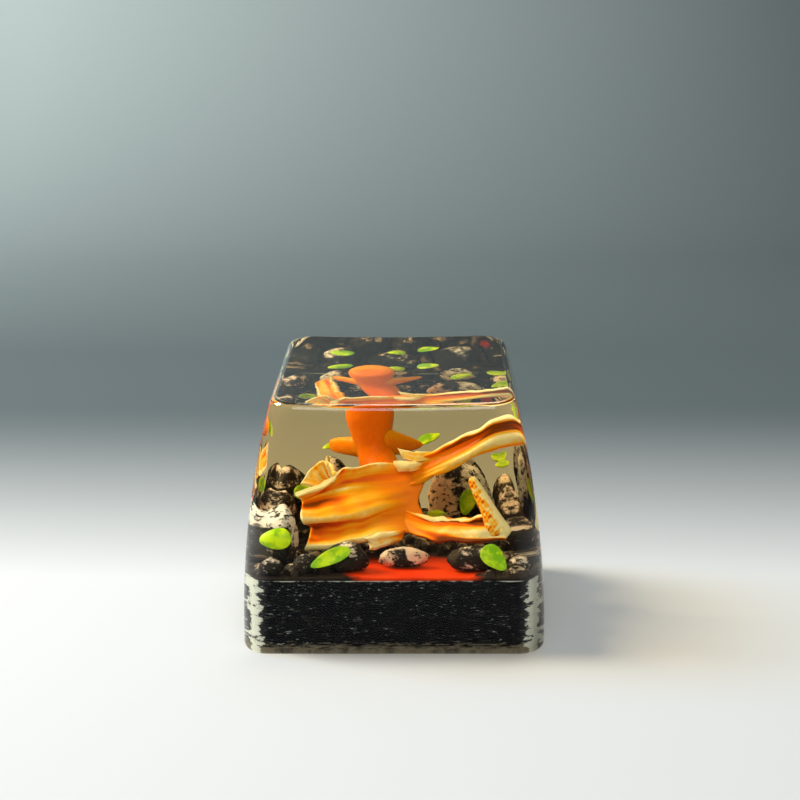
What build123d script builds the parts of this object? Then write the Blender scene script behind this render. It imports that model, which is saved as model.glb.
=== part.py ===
"""Artisan keycap with a pond scene cast in clear resin.

A tall clear block covers a black base that holds the stem socket. On the base lie
a thin red floor, pebbles and water leaves, and a goldfish with a veil tail swims
up through the block. Millimetres, +Z up, the front of the key towards -Y, and the
origin at the middle of the bottom rim.
"""
import os
from math import asin, cos, degrees, pi, radians, sin, sqrt, tan

from build123d import *

# Clear block
key_width = 18.2  # outside width and depth at the bottom rim
skirt_height = 1.4  # straight lower stretch of each side
side_radius = 55.0  # arc of each side above the skirt
centre_height = 15.6  # lowest point of the dished top
top_tilt = 5.4  # fall of the top towards the front, in degrees
dish_radius = 170.0
corner_radius = 1.6
top_edge_radius = 0.5
bottom_edge_radius = 0.5

# Black base with its hollow and stem
skin = 0.9  # clear resin outside the base
base_height = 4.5
base_wall = 0.8
base_roof = 0.4  # base above the hollow
hollow_corner_radius = 0.5
stem_diameter = 5.5
stem_recess = 0.4  # end of the stem above the bottom rim
cross_length = 4.1
cross_width_along_x = 1.35
cross_width_along_y = 1.2
cross_depth = 3.8
cross_lead_in = 0.15  # chamfer at the mouth of the cross

# Red floor
floor_thickness = 0.2

# Pebbles
stone_corner_count = 30
stone_roughness = 0.14
stone_seat = 0.6  # share of the half height that is worn flat below

# Water leaves
leaf_thickness = 0.22

# Goldfish
body_corner_count = 90
body_squareness = 2.5  # 2 is an ellipse, and more is blunter
taper_corner_count = 10  # corners round each section of a side fin or horn
fin_thickness = 0.3
ray_width = 0.14
ray_height = 0.1  # stiff rays above each face of a fin
scallop_bow = 0.28  # bow of the free edge between two rays, as a share of their distance

# The pond scene is drawn in this half width and depth, and scaled as a whole to fit the block
drawn_half_width = 8.2
drawn_depth = 10.9

# Sizes that follow from the ones above
half_width = key_width / 2
rim_rise = half_width * tan(radians(top_tilt)) + key_width**2 / dish_radius
blank_height = centre_height + rim_rise
side_sweep = degrees(asin((blank_height - skirt_height) / side_radius))
base_width = key_width - 2 * skin
base_corner_radius = corner_radius - skin
hollow_width = base_width - 2 * base_wall
hollow_depth = base_height - base_roof
floor_top = base_height + floor_thickness
scene_scale = min((half_width - skin) / drawn_half_width, (centre_height - floor_top) / drawn_depth)
golden_angle = pi * (3 - sqrt(5))


def in_pond(x, y, z):
    """Place in the scene: x and y from the middle of the pond, z above its floor."""
    return Vector(x, y, z) * scene_scale + Vector(0, 0, floor_top)


def winding(count, phase=0.0):
    """Turn and level of points that wind evenly down a sphere by the golden angle."""
    return [(index * golden_angle + phase, 1 - (2 * index + 1) / count) for index in range(count)]


def is_upright_corner(edge):
    """The upright corners lie on the diagonals of the square plan."""
    middle = edge.center()
    return abs(abs(middle.X) - abs(middle.Y)) < 0.01


# Black base
with BuildPart() as black_base:
    with BuildSketch():
        RectangleRounded(base_width, base_width, base_corner_radius)
    extrude(amount=base_height)
    with BuildSketch():
        RectangleRounded(hollow_width, hollow_width, hollow_corner_radius)
    extrude(amount=hollow_depth, mode=Mode.SUBTRACT)
    with BuildSketch(Plane.XY.offset(stem_recess)):
        Circle(stem_diameter / 2)
    extrude(amount=hollow_depth - stem_recess)
    with BuildSketch(Plane.XY.offset(stem_recess)):
        Rectangle(cross_length, cross_width_along_x)
        Rectangle(cross_width_along_y, cross_length)
    extrude(amount=cross_depth, mode=Mode.SUBTRACT)
    stem_face = black_base.faces().filter_by(Plane.XY).filter_by_position(Axis.Z, stem_recess, stem_recess)
    chamfer(stem_face.face().inner_wires().edges(), cross_lead_in)

# Red floor
with BuildPart() as floor_layer:
    with BuildSketch(Plane.XY.offset(base_height)):
        RectangleRounded(base_width, base_width, base_corner_radius)
    extrude(amount=floor_thickness)


# Pebbles: place on the floor, turn, length, width, height and phase of the wear
pebble_layout = {
    "left_boulder": (-6.75, -5.0, 8, 2.1, 3.3, 4.0, 0.3),
    "right_boulder": (4.0, 3.3, -6, 4.8, 3.0, 4.7, 1.9),
    "rear_left_pebble": (-4.0, 6.6, 12, 2.9, 2.2, 4.2, 2.7),
    "rear_right_pebble": (4.0, 6.6, -6, 3.7, 2.1, 4.6, 0.9),
    "rear_centre_pebble": (-0.3, 6.9, 4, 4.2, 1.9, 3.8, 4.1),
    "rear_left_corner_pebble": (-6.75, 5.6, 70, 3.8, 2.3, 3.8, 1.3),
    "rear_right_corner_pebble": (7.0, 5.7, 95, 3.2, 1.8, 3.4, 3.3),
    "left_side_pebble": (-7.0, 0.9, 85, 4.0, 2.0, 3.4, 5.2),
    "left_front_pebble": (-7.15, -2.2, 80, 2.2, 1.7, 2.6, 1.7),
    "left_middle_pebble": (-4.6, 3.4, 35, 3.0, 2.2, 3.0, 0.8),
    "left_front_corner_pebble": (-7.25, -7.4, 20, 1.5, 1.2, 1.2, 2.4),
    "centre_left_pebble": (-2.1, 4.8, -15, 2.6, 1.9, 2.9, 3.1),
    "centre_right_pebble": (0.5, 4.7, 10, 2.5, 2.0, 2.4, 5.6),
    "centre_low_pebble": (-4.1, 0.6, 60, 2.9, 2.4, 1.9, 4.4),
    "right_side_pebble": (7.1, 1.1, 95, 4.0, 1.8, 4.0, 0.1),
    "right_front_pebble": (7.45, -4.8, 88, 1.9, 1.1, 0.9, 5.0),
    "front_left_pebble": (-2.75, -6.3, -6, 2.9, 2.1, 1.9, 2.2),
    "front_left_low_pebble": (-5.2, -6.9, 10, 1.9, 1.5, 1.3, 3.9),
    "front_middle_pebble": (0.6, -5.4, 3, 3.5, 1.2, 1.35, 1.1),
    "front_right_pebble": (4.9, -6.3, 4, 3.6, 2.0, 1.7, 4.6),
    "front_right_low_pebble": (7.4, -6.9, 75, 1.8, 1.2, 1.1, 0.6),
    "front_right_corner_pebble": (7.2, -2.5, 90, 2.6, 1.6, 2.6, 2.9),
}


def stone_corners(length, width, height, phase):
    """Corners of a worn stone.

    They wind round an ellipsoid, a wave pushes them in and out, and those near the
    bottom are pressed flat so that the stone sits on the floor.
    """
    corners = []
    for turn, level in winding(stone_corner_count, phase):
        swell = 1 + stone_roughness * sin(3 * turn + 4 * level + phase)
        ring = sqrt(1 - level**2) * swell / 2
        seat = max(0, (level + stone_seat) / (1 + stone_seat))
        corner = Vector(length * ring * cos(turn), width * ring * sin(turn), height * seat)
        corners.append(corner * scene_scale)
    return corners


pebbles = []
for name, (x, y, turn, length, width, height, phase) in pebble_layout.items():
    with BuildPart() as pebble:
        with Locations(Location(in_pond(x, y, 0), (0, 0, turn))):
            ConvexPolyhedron(stone_corners(length, width, height, phase))
    pebble.part.label = name
    pebbles.append(pebble)

# Water leaves: place, turns about X, Y and Z, length and width
leaf_layout = {
    "front_left_leaf": (-6.95, -7.1, 2.15, (70, -8, 10), 1.7, 1.3),
    "front_stone_leaf": (-3.75, -7.75, 1.15, (70, 0, 24), 2.6, 0.9),
    "front_right_leaf": (6.05, -7.65, 1.1, (75, 0, -45), 1.9, 1.2),
    "right_boulder_leaf": (4.5, 1.2, 2.4, (80, 10, 70), 1.6, 1.0),
    "left_rear_leaf": (-5.75, 1.6, 2.9, (60, 0, 8), 1.2, 0.9),
    "rear_right_leaf": (2.1, 6.9, 4.75, (25, -20, 5), 1.6, 0.9),
    "boulder_top_leaf": (4.3, 4.3, 4.85, (20, 8, 30), 1.7, 0.8),
    "rear_corner_leaf": (6.7, 5.8, 3.75, (18, 10, -15), 1.4, 0.8),
    "right_middle_leaf": (6.8, 2.6, 4.3, (25, 10, 40), 1.4, 0.8),
    "right_low_leaf": (2.6, 1.3, 1.6, (20, -12, -25), 1.3, 0.7),
    "rear_left_leaf": (-3.9, 7.2, 4.35, (10, -8, 12), 1.8, 0.9),
    "rear_centre_leaf": (-0.1, 7.0, 4.1, (20, 6, -8), 1.3, 0.8),
}

leaves = []
for name, (x, y, z, turns, length, width) in leaf_layout.items():
    tip = length * scene_scale / 2
    side = width * scene_scale / 2
    with BuildPart() as leaf:
        with BuildSketch(Plane(Location(in_pond(x, y, z), turns))):
            with BuildLine():
                ThreePointArc((-tip, 0), (0, side), (tip, 0))
                ThreePointArc((tip, 0), (0, -side), (-tip, 0))
            make_face()
        extrude(amount=leaf_thickness * scene_scale)
    leaf.part.label = name
    leaves.append(leaf)

# Goldfish, body: middle, end of the long axis and girth of each rounded half
body_lobes = {
    "head": ((-1.4, 2.6, 6.6), (-1.45, 2.7, 8.1), 1.5),
    "belly": ((-0.75, 1.1, 4.5), (0.1, -1.45, 3.0), 1.2),
}

# Goldfish, tapers: root and tip, then share of the reach, half height and half thickness
side_fin_sections = [(0.0, 0.5, 0.3), (0.55, 0.6, 0.24), (1.0, 0.22, 0.12)]
horn_sections = [(0.0, 0.5, 0.45), (0.5, 0.4, 0.36), (0.93, 0.3, 0.27), (1.0, 0.15, 0.13)]
tapers = {
    "left_side_fin": ((-1.9, 2.1, 5.45), (-4.15, 3.8, 5.25), side_fin_sections),
    "right_side_fin": ((-0.6, 2.1, 5.55), (1.7, 3.9, 5.2), side_fin_sections),
    "tail_horn": ((6.7, -4.7, 1.7), (4.6, -3.4, 4.95), horn_sections),
}

# Goldfish, veil tail: root, two ends of the free edge, width at the root and scallops
tail_lobes = {
    "left_main": ((0.3, -1.9, 2.9), (-5.6, -1.9, 3.95), (-5.35, -4.8, 0.95), 4.3, 5),
    "left_upright": ((-3.4, -1.7, 3.5), (-4.1, -0.6, 5.45), (-5.9, -0.7, 3.75), 0.8, 3),
    "right_upper": ((-0.4, -0.7, 3.4), (7.0, -2.2, 8.6), (7.2, -2.2, 6.6), 2.0, 4),
    "right_lower": ((-0.45, -2.2, 1.85), (6.6, -4.4, 2.25), (6.9, -5.0, 1.4), 2.0, 3),
    "crest": ((2.3, -1.24, 5.1), (0.15, -0.2, 6.0), (0.3, -0.35, 5.0), 0.9, 2),
    "front_small": ((0.5, -3.5, 1.75), (-1.7, -5.2, 1.95), (-1.9, -5.2, 1.15), 0.7, 2),
}


def body_corners(half_length, half_girth):
    """Corners of a rounded half of the body, its long axis along Z."""
    corners = []
    for turn, level in winding(body_corner_count):
        ring = half_girth * (1 - abs(level) ** body_squareness) ** (1 / body_squareness)
        corners.append((ring * cos(turn), ring * sin(turn), half_length * level))
    return corners


def taper_corners(length, sections):
    """Corners of a side fin or horn that reaches along Z, from ellipses across it."""
    corners = []
    for share, tall, thick in sections:
        for index in range(taper_corner_count):
            turn = 2 * pi * index / taper_corner_count
            corners.append((tall * scene_scale * cos(turn), thick * scene_scale * sin(turn), length * share))
    return corners


with BuildPart() as goldfish:
    for middle, end, girth in body_lobes.values():
        centre = in_pond(*middle)
        long_axis = in_pond(*end) - centre
        with Locations(Plane(centre, z_dir=long_axis)):
            ConvexPolyhedron(body_corners(long_axis.length, girth * scene_scale))
    for root, tip, sections in tapers.values():
        start = in_pond(*root)
        reach = in_pond(*tip) - start
        with Locations(Plane(start, x_dir=(0, 0, 1), z_dir=reach)):
            ConvexPolyhedron(taper_corners(reach.length, sections))
    for root, upper, lower, root_width, scallops in tail_lobes.values():
        start, upper_end, lower_end = in_pond(*root), in_pond(*upper), in_pond(*lower)
        reach = (upper_end + lower_end) / 2 - start
        lobe_plane = Plane(start, x_dir=reach, z_dir=reach.cross(upper_end - lower_end))
        free_start = lobe_plane.to_local_coords(lower_end)
        free_edge = lobe_plane.to_local_coords(upper_end) - free_start
        stops = [free_start + free_edge * (index / scallops) for index in range(scallops + 1)]
        root_end = Vector(0, root_width / 2 * scene_scale)
        with BuildSketch(lobe_plane):
            with BuildLine():
                Polyline(stops[-1], root_end, -root_end, stops[0])
                for stop, next_stop in zip(stops, stops[1:]):
                    SagittaArc(stop, next_stop, -scallop_bow * (next_stop - stop).length)
            make_face()
        extrude(amount=fin_thickness / 2 * scene_scale, both=True)
        with BuildSketch(lobe_plane):
            for index, stop in enumerate(stops[1:-1], 1):
                ray_side = Vector(0, ray_width / 2 * scene_scale)
                with BuildLine():
                    Polyline(root_end * (2 * index / scallops - 1), stop - ray_side, stop + ray_side, close=True)
                make_face()
        extrude(amount=(fin_thickness / 2 + ray_height) * scene_scale, both=True)

# Clear block, cast over everything above
with BuildPart() as clear_body:
    for side_plane, side_mode in ((Plane.XZ, Mode.ADD), (Plane.YZ, Mode.INTERSECT)):
        with BuildSketch(side_plane):
            with BuildLine():
                Line((0, 0), (half_width, 0))
                Line((half_width, 0), (half_width, skirt_height))
                side = CenterArc((half_width - side_radius, skirt_height), side_radius, 0, side_sweep)
                Line(side @ 1, (0, (side @ 1).Y))
                mirror(about=Plane.YZ)
            make_face()
        extrude(amount=half_width, both=True, mode=side_mode)
    fillet(clear_body.edges().filter_by(is_upright_corner), corner_radius)
    top_plane = Plane((0, 0, centre_height), z_dir=Vector(0, 0, 1).rotate(Axis.X, top_tilt))
    with Locations(top_plane.offset(dish_radius).origin):
        Sphere(dish_radius, mode=Mode.SUBTRACT)
    fillet(clear_body.faces().sort_by(Axis.Z)[-1].edges(), top_edge_radius)
    fillet(clear_body.faces().sort_by(Axis.Z)[0].edges(), bottom_edge_radius)
    with BuildSketch():
        RectangleRounded(base_width, base_width, base_corner_radius)
    extrude(amount=floor_top, mode=Mode.SUBTRACT)
    for piece in [*pebbles, *leaves, goldfish]:
        add(piece.part, mode=Mode.SUBTRACT)

clear_body.part.label = "clear_body"
black_base.part.label = "black_base"
floor_layer.part.label = "floor_layer"
goldfish.part.label = "goldfish"

os.makedirs("parts", exist_ok=True)
for piece in [clear_body, black_base, floor_layer, goldfish, *pebbles, *leaves]:
    export_step(piece.part, f"parts/{piece.part.label}.step")
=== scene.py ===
"""Dressing for the artisan keycap: clear cast resin over a goldfish pond on a black base.

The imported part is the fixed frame. Every new piece is a surface worked out with numpy in
that frame, in metres, with +Z up and the front of the key towards -Y. The layout is that
of an add-on with one operator for each group of pieces and one for the stage, and the file
is run as a script.
"""
from collections import namedtuple
from math import cos, pi, radians, sin, tan

import bpy
import numpy as np
from bpy.props import FloatProperty, FloatVectorProperty, IntProperty, PointerProperty
from mathutils import Matrix, Vector


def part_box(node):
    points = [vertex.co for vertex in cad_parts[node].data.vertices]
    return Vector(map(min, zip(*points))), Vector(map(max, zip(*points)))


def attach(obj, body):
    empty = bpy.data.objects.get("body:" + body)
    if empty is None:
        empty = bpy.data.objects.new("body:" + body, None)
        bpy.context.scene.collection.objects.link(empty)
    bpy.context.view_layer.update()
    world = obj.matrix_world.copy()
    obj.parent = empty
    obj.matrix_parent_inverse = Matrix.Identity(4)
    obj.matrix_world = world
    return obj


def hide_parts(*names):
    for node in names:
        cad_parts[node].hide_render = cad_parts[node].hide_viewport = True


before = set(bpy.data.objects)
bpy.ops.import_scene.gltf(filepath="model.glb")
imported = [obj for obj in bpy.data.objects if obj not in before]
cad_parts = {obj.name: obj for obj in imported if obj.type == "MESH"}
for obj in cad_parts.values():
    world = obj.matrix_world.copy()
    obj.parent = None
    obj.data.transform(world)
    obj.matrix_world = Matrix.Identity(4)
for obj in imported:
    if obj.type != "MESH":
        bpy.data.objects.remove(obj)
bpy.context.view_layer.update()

bl_info = {
    "name": "Artisan keycap dressing",
    "version": (1, 0, 0),
    "blender": (4, 5, 0),
    "location": "View3D > Sidebar > Keycap",
    "description": "Dresses the packed keycap with clear resin, a goldfish, pebbles and leaves",
    "category": "Object",
}

MM = 0.001
pebble_nodes = sorted(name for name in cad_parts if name.endswith(("pebble", "boulder")))
leaf_nodes = sorted(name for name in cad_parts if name.endswith("leaf"))
pond_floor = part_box("floor_layer")[1].z


def number(name, description, default, low=0.0):
    """A plain number that a user may change."""
    return FloatProperty(name=name, description=description, default=default, min=low)


def length(name, description, default):
    """A size in metres that a user may change."""
    return FloatProperty(name=name, description=description, default=default, unit="LENGTH", precision=5)


def share(name, description, default):
    """A share from 0 to 1 that a user may change."""
    return FloatProperty(
        name=name, description=description, default=default, min=0.0, max=1.0, subtype="FACTOR"
    )


def colour(name, description, default):
    """A colour that a user may change, as linear red, green and blue."""
    return FloatVectorProperty(
        name=name, description=description, default=default, size=3, min=0.0, max=1.0, subtype="COLOR"
    )


def turn(name, description, degrees):
    """An angle that a user may change, given in degrees."""
    return FloatProperty(name=name, description=description, default=radians(degrees), subtype="ANGLE")


class KeycapResinSettings(bpy.types.PropertyGroup):
    """Sizes and tint of the clear block."""

    skirt_height: length("Skirt height", "Straight lower stretch of each side", 1.4 * MM)
    side_radius: length("Side radius", "Arc of each side above the skirt", 55 * MM)
    centre_height: length("Centre height", "Lowest point of the dished top", 15.6 * MM)
    top_tilt: turn("Top tilt", "Fall of the top towards the front", 5.4)
    dish_radius: length("Dish radius", "Radius of the dished top", 170 * MM)
    corner_radius: length("Corner radius", "Radius of the upright corners", 1.6 * MM)
    top_edge: length("Top edge", "Rounding of the top edge", 0.5 * MM)
    bottom_edge: length("Bottom edge", "Rounding of the bottom edge", 0.5 * MM)
    pocket_sink: length("Pocket sink", "How far the pocket's walls lie inside the base", 0.1 * MM)
    tint: colour("Tint", "Colour of what is seen through a face", (0.93, 0.87, 0.66))
    amber: colour("Amber", "Colour that depth gives to what is seen through the resin", (0.80, 0.56, 0.05))
    amber_density: number("Amber density", "How soon depth colours the view, per metre", 60.0)
    passing: colour("Passing light", "Colour of the light on what is cast in it", (0.98, 0.97, 0.93))
    gloss: colour("Gloss", "Share of the mirror image on the faces", (0.12, 0.12, 0.12))
    ior: number("IOR", "Index of refraction", 1.5, low=1.0)


class KeycapBaseSettings(bpy.types.PropertyGroup):
    """Finish of the black base and the red floor."""

    black: colour("Black", "Colour of the base", (0.003, 0.0035, 0.006))
    scuff: colour("Scuff", "Colour of the fine scuffs", (0.32, 0.39, 0.43))
    # Worn is partly worn paint and partly a painted view of the pale floor through the clear corners; rim is
    # a painted view through the clear bottom edge
    worn: colour("Worn", "Colour of the worn corners", (0.56, 0.62, 0.62))
    rim: colour("Rim", "Colour of the bottom rim", (0.17, 0.155, 0.125))
    red: colour("Red", "Colour of the pond's floor", (0.84, 0.050, 0.0))
    red_shade: colour("Red shade", "Darker parts of the pond's floor", (0.66, 0.024, 0.0))
    silt: colour("Silt", "Colour of the grit on the pond's floor", (0.012, 0.008, 0.006))
    grit: colour("Grit", "Colour of the grit's rubbed tops", (0.50, 0.40, 0.28))
    grit_count: IntProperty(name="Grit", description="Number of small stones in the grit", default=520, min=1)
    grit_size: length("Grit size", "Largest radius of a small stone in the grit", 0.62 * MM)


class KeycapPebbleSettings(bpy.types.PropertyGroup):
    """Form and finish of the pebbles."""

    roundness: number("Roundness", "Low rounds the facets of the solid more", 20.0, low=2.0)
    bump: share("Bump", "Depth of the bumps, as a share of the radius", 0.07)
    dark: colour("Dark", "Colour of the stone", (0.010, 0.008, 0.006))
    pale: colour("Pale", "Colour of the rubbed patches", (0.86, 0.83, 0.76))
    warm: colour("Warm", "Colour of the pinkish stretches", (0.82, 0.56, 0.40))


class KeycapLeafSettings(bpy.types.PropertyGroup):
    """Form and finish of the water leaves."""

    cup: share("Cup", "Rise of the rim, as a share of the width", 0.12)
    lime: colour("Lime", "Colour of the leaves", (0.60, 0.86, 0.0))
    green: colour("Green", "Shaded stretches of the leaves", (0.20, 0.50, 0.0))


class KeycapGoldfishSettings(bpy.types.PropertyGroup):
    """Form and finish of the goldfish."""

    rim_bead: length("Rim bead", "Extra thickness along the free edges", 0.06 * MM)
    brown: colour("Brown", "Grooves between the rays", (0.22, 0.055, 0.002))
    deep: colour("Deep", "Creases of the tail", (0.80, 0.13, 0.0))
    orange: colour("Orange", "Body and the tail's root", (1.0, 0.24, 0.0))
    gold: colour("Gold", "Hollows of the fins", (1.0, 0.48, 0.010))
    # Cream and white are painted highlights on the crests and rims
    cream: colour("Cream", "Crests of the fins", (1.0, 0.62, 0.09))
    white: colour("White", "Rims of the fins", (1.0, 0.90, 0.52))


class KeycapStageSettings(bpy.types.PropertyGroup):
    """Camera, floor and light."""

    camera_distance: length("Camera distance", "From the aim to the camera", 125 * MM)
    camera_elevation: turn("Camera elevation", "Height of the camera above the horizon", 16.0)
    camera_yaw: turn("Camera yaw", "Turn of the camera towards +X", 1.491)
    camera_roll: turn("Camera roll", "Roll of the camera", -0.483)
    aim_right: turn("Aim right", "Turn of the view to the right of the aim", 0.142)
    aim_up: turn("Aim up", "Turn of the view above the aim", 2.747)
    aim_height: length("Aim height", "Height of the aim", 7.5 * MM)
    lens_angle: turn("Lens angle", "Field of view", 23.05)
    # The floor's colour further back is painted shade, and the paler backdrop on the left is painted light
    floor_pale: colour("Floor", "Colour of the floor by the keycap", (0.56, 0.575, 0.57))
    floor_painted_shade: colour("Floor shade", "Colour of the floor further back", (0.085, 0.107, 0.112))
    backdrop: colour("Backdrop", "Colour of the backdrop on the left", (0.36, 0.425, 0.42))


def ring_skin(rings):
    """Closed skin over rows of rings, an array of shape (rows, columns, 3).

    Neighbouring rings are joined by quads round their columns, and the first and the last
    ring are each closed by a fan from the mean of their points. Rings that climb while
    their columns run anticlockwise, seen from above, give faces that point outwards.
    """
    rows, columns = rings.shape[:2]
    points = np.concatenate([rings[:1].mean(1), rings.reshape(-1, 3), rings[-1:].mean(1)])
    here = 1 + np.arange(rows * columns).reshape(rows, columns)
    beside = np.roll(here, -1, axis=1)
    quads = np.stack([here[:-1], beside[:-1], beside[1:], here[1:]], axis=-1).reshape(-1, 4)
    first = np.stack([np.zeros_like(here[0]), beside[0], here[0]], axis=-1)
    last = np.stack([np.full_like(here[0], len(points) - 1), here[-1], beside[-1]], axis=-1)
    return points, quads, np.concatenate([first, last])


def ring_marks(first, second):
    """Pairs of marks for the points of a ring_skin, from two arrays of shape (rows, columns)."""
    marks = np.stack([first, second], axis=-1)
    return np.concatenate([marks[:1].mean(1), marks.reshape(-1, 2), marks[-1:].mean(1)])


def grid_quads(index):
    """Quads between neighbouring rows and columns of a grid of point numbers."""
    return np.stack([index[:-1, :-1], index[:-1, 1:], index[1:, 1:], index[1:, :-1]], axis=-1).reshape(-1, 4)


def pillow_skin(front, back):
    """Closed skin between two grids of points, which share the points of their border.

    Both arrays have the shape (rows, columns, 3). The inner points of the back grid are
    added to the front grid's, and its quads run the other way round.
    """
    rows, columns = front.shape[:2]
    points = np.concatenate([front.reshape(-1, 3), back[1:-1, 1:-1].reshape(-1, 3)])
    near = np.arange(rows * columns).reshape(rows, columns)
    far = near.copy()
    far[1:-1, 1:-1] = rows * columns + np.arange((rows - 2) * (columns - 2)).reshape(rows - 2, columns - 2)
    return points, np.concatenate([grid_quads(near.T), grid_quads(far)])


def pillow_marks(first, second):
    """Pairs of marks for the points of a pillow_skin, from two arrays of shape (rows, columns)."""
    marks = np.stack([first, second], axis=-1)
    return np.concatenate([marks.reshape(-1, 2), marks[1:-1, 1:-1].reshape(-1, 2)])


def outward(points, faces):
    """The faces with their order turned round if they enclose a negative volume."""
    corner = points[faces]
    volume = 0.0
    for step in range(1, faces.shape[1] - 1):
        volume += np.einsum("ij,ij->i", corner[:, 0], np.cross(corner[:, step], corner[:, step + 1])).sum()
    return faces[:, ::-1] if volume < 0 else faces


def smooth_at(stations, shares):
    """Points at shares from 0 to 1 of a smooth curve through the stations, one row for each.

    Between two stations it is the cubic whose end slopes are half the span of their
    neighbours, the first and the last station counting twice.
    """
    padded = np.concatenate([stations[:1], stations, stations[-1:]])
    place = np.asarray(shares) * (len(stations) - 1)
    index = np.clip(place.astype(int), 0, len(stations) - 2)
    t = (place - index)[:, None]
    before, start, end, after = (padded[index + step] for step in range(4))
    start_slope = (end - before) / 2
    end_slope = (after - start) / 2
    return (
        (2 * t**3 - 3 * t**2 + 1) * start
        + (t**3 - 2 * t**2 + t) * start_slope
        + (3 * t**2 - 2 * t**3) * end
        + (t**3 - t**2) * end_slope
    )


def unit(vectors):
    """The vectors with length 1, along the last axis."""
    return vectors / np.linalg.norm(vectors, axis=-1, keepdims=True)


def ramp(low, high, values):
    """0 below low, 1 above high, and a smooth S between them."""
    t = np.clip((values - low) / (high - low), 0, 1)
    return t * t * (3 - 2 * t)


def ripple(points, seed, waves=9):
    """A bumpy field from -2 to 2, mostly within 1: twice the mean of sine waves in seeded directions."""
    draw = np.random.default_rng(seed)
    direction = draw.normal(size=(waves, 3))
    phase = draw.uniform(0, 2 * pi, waves)
    return np.sin(points @ direction.T + phase).mean(-1) * 2


def add_piece(name, points, face_sets, nodes, material, marks=None, crease=None):
    """Makes the mesh object, puts it on the body and hides the CAD nodes that it stands for.

    marks gives each point a pair of values, kept in a UV map for the material to read, and
    crease the angle past which an edge stays sharp.
    """
    mesh = bpy.data.meshes.new(name)
    faces = [face for face_set in face_sets for face in face_set.tolist()]
    mesh.from_pydata(points.tolist(), [], faces)
    mesh.shade_smooth()
    if crease is not None:
        mesh.set_sharp_from_angle(angle=crease)
    if marks is not None:
        corner_points = np.empty(len(mesh.loops), dtype=np.int32)
        mesh.loops.foreach_get("vertex_index", corner_points)
        layer = mesh.uv_layers.new(name="marks")
        layer.uv.foreach_set("vector", marks[corner_points].astype(np.float32).ravel())
    if mesh.validate():
        raise RuntimeError(f"{name} has faces that Blender had to mend")
    piece = bpy.data.objects.new(name, mesh)
    bpy.context.scene.collection.objects.link(piece)
    mesh.materials.append(material)
    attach(piece, "root")
    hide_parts(*nodes)
    return piece


def new_material(name):
    """A node material with its tree, its Principled shader and its output."""
    material = bpy.data.materials.new(name)
    material.use_nodes = True
    tree = material.node_tree
    return material, tree, tree.nodes["Principled BSDF"], tree.nodes["Material Output"]


def set_inputs(tree, node, sockets):
    """Puts values or links on a node's inputs, by their name or place. Colours come without alpha."""
    for key, value in sockets.items():
        socket = node.inputs[key]
        if isinstance(value, bpy.types.NodeSocket):
            tree.links.new(value, socket)
        elif socket.type == "RGBA":
            socket.default_value = (*value, 1.0)
        else:
            socket.default_value = value


def add_node(tree, kind, sockets=None, **settings):
    """A node with settings on itself, and values or links on its inputs."""
    node = tree.nodes.new(kind)
    for key, value in settings.items():
        setattr(node, key, value)
    set_inputs(tree, node, sockets or {})
    return node


def calculate(tree, operation, *values, **settings):
    """The result of a Math node on values or links."""
    node = add_node(tree, "ShaderNodeMath", dict(enumerate(values)), operation=operation, **settings)
    return node.outputs[0]


def map_range(tree, value, low, high, start=0.0, end=1.0):
    """A value that goes from start, where the given value is low, to end, where it is high."""
    sockets = {"Value": value, "From Min": low, "From Max": high, "To Min": start, "To Max": end}
    return add_node(tree, "ShaderNodeMapRange", sockets).outputs[0]


def stretched_noise(tree, place, stretch, scale, detail, roughness):
    """Noise at a place whose axes are multiplied by the stretch."""
    vector = add_node(tree, "ShaderNodeVectorMath", {0: place, 1: stretch}, operation="MULTIPLY").outputs[0]
    sockets = {"Vector": vector, "Scale": scale, "Detail": detail, "Roughness": roughness}
    return add_node(tree, "ShaderNodeTexNoise", sockets).outputs[0]


def mix_colours(tree, factor, first, second):
    """The colour between two colours or links, by a factor."""
    return add_node(tree, "ShaderNodeMix", {0: factor, 6: first, 7: second}, data_type="RGBA").outputs[2]


def relief(tree, height, strength, distance):
    """The normal of a surface with bumps of a height."""
    sockets = {"Strength": strength, "Distance": distance, "Height": height}
    return add_node(tree, "ShaderNodeBump", sockets).outputs[0]


def object_axes(tree):
    """X, Y and Z of a place on the object."""
    place = add_node(tree, "ShaderNodeTexCoord").outputs["Object"]
    return add_node(tree, "ShaderNodeSeparateXYZ", {0: place}).outputs


def read_marks(tree):
    """A piece's marks as a vector, and as the values X and Y."""
    marks = add_node(tree, "ShaderNodeUVMap", uv_map="marks").outputs[0]
    return marks, add_node(tree, "ShaderNodeSeparateXYZ", {0: marks}).outputs


def dry_brush_group():
    """Node group with a mask of dry-brushed marks.

    Noise on the object's coordinates, stretched by Scale, is cut at a level that Coverage
    lowers, over a band of Softness.
    """
    name = "dry_brush"
    if name in bpy.data.node_groups:
        return bpy.data.node_groups[name]
    group = bpy.data.node_groups.new(name, "ShaderNodeTree")
    for title, kind, default in (
        ("Scale", "NodeSocketVector", (1000.0, 1000.0, 1000.0)),
        ("Coverage", "NodeSocketFloat", 0.5),
        ("Softness", "NodeSocketFloat", 0.05),
    ):
        socket = group.interface.new_socket(title, in_out="INPUT", socket_type=kind)
        socket.default_value = default
    group.interface.new_socket("Mask", in_out="OUTPUT", socket_type="NodeSocketFloat")
    inputs = add_node(group, "NodeGroupInput").outputs
    place = add_node(group, "ShaderNodeTexCoord").outputs["Object"]
    noise = stretched_noise(group, place, inputs["Scale"], scale=1.0, detail=6.0, roughness=0.68)
    level = calculate(group, "SUBTRACT", 1.0, inputs["Coverage"])
    low = calculate(group, "SUBTRACT", level, inputs["Softness"])
    high = calculate(group, "ADD", level, inputs["Softness"])
    add_node(group, "NodeGroupOutput", {"Mask": map_range(group, noise, low, high)})
    return group


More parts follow.
